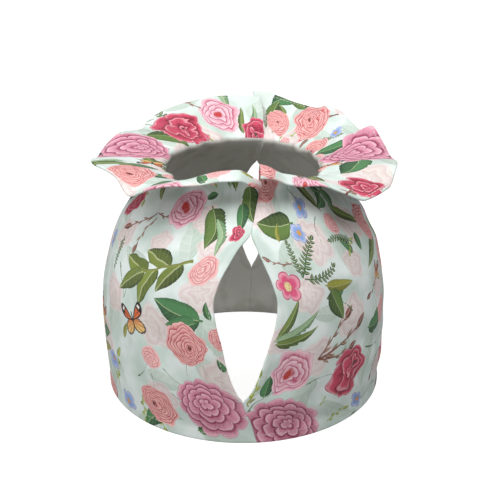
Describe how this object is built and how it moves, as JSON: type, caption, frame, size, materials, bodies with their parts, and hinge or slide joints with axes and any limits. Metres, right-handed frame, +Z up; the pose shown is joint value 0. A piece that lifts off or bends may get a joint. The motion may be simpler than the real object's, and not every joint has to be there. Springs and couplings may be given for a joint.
{
  "type": "tea cosy",
  "caption": "Tea cosy of printed cloth: hollow round body on an open hem, gathered neck, wavy frill, open slits for a spout and a handle.",
  "frame": {"origin": "middle of the cosy's plan at the level of the hem, where it meets the table", "axes": "+Z up along the body, -Y towards the spout slit at the front, +X to the right seen from the front"},
  "size_m": [0.1788, 0.1734, 0.1607],
  "materials": {
    "left_cloth": "matt printed cloth",
    "right_cloth": "matt printed cloth"
  },
  "bodies": {
    "root": {"left_panel": "left_cloth", "right_panel": "right_cloth"}
  },
  "joints": []
}
